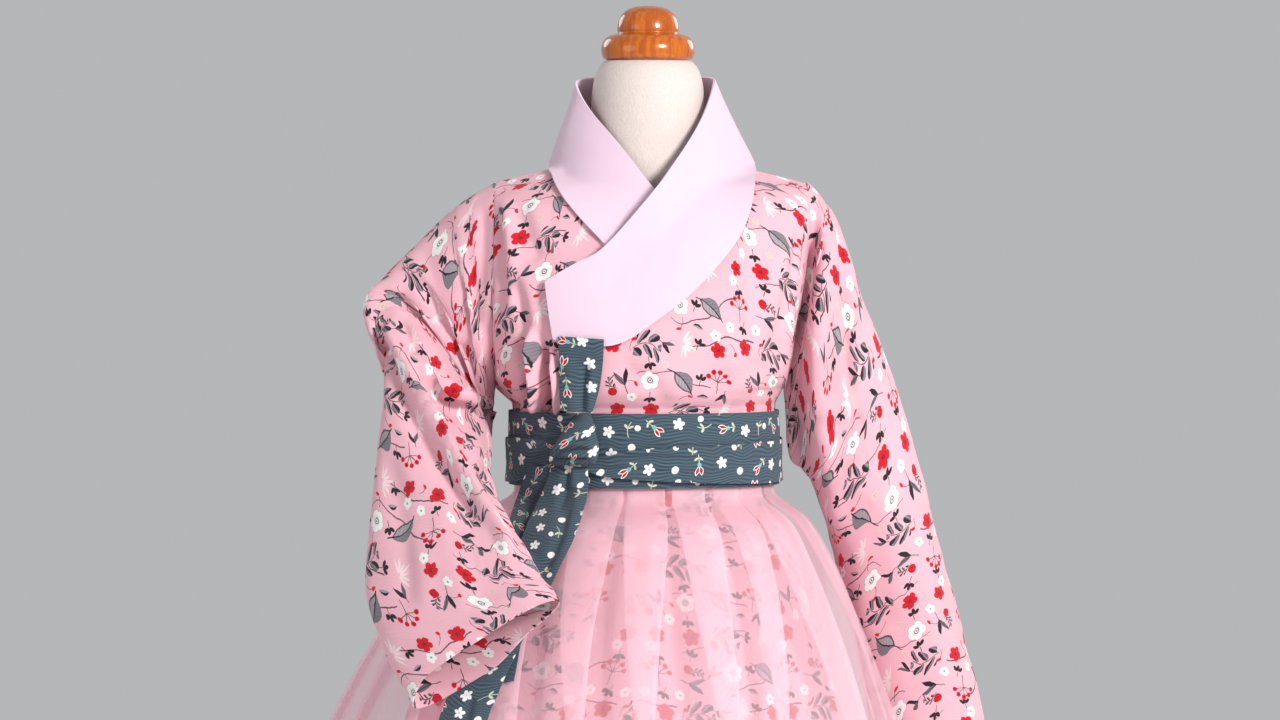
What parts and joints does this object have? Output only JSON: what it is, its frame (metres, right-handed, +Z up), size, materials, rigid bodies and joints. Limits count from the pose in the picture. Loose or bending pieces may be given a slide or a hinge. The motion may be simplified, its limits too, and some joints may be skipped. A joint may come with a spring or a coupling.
{
  "type": "child's hanbok on a dress form",
  "caption": "Child's short wrap jacket with a broad collar, tied sash and long pleated sheer skirt over a printed one, worn on a limbless dress form.",
  "frame": {"origin": "centre of the underside of the dress form's round foot", "axes": "+Z up along the form's pole, -Y out of the garment's front, +X towards the wearer's left"},
  "size_m": [0.7348, 0.7112, 1.0248],
  "materials": {
    "floral_cotton": "printed matte",
    "collar_cotton": "plain matte",
    "sash_print": "printed matte, fine rib",
    "organza": "sheer with a soft sheen",
    "waistband_cotton": "plain matte",
    "form_linen": "stretched plain weave",
    "cap_wood": "glossy lacquer",
    "stand_wood": "satin lacquer",
    "pole_metal": "satin"
  },
  "bodies": {
    "root": {"form_body": "form_linen", "form_cap": "cap_wood", "form_pole": "pole_metal", "form_base": "stand_wood", "jeogori_back": "floral_cotton", "jeogori_front_right": "floral_cotton", "jeogori_front_left": "floral_cotton", "sleeve_right": "floral_cotton", "sleeve_left": "floral_cotton", "git_collar": "collar_cotton", "goreum_strap": "sash_print", "belt_band": "sash_print", "belt_wrap": "sash_print", "belt_knot": "sash_print", "tail_front": "sash_print", "tail_back": "sash_print", "skirt_band": "waistband_cotton", "skirt_print": "floral_cotton", "skirt_organza": "organza"}
  },
  "joints": []
}
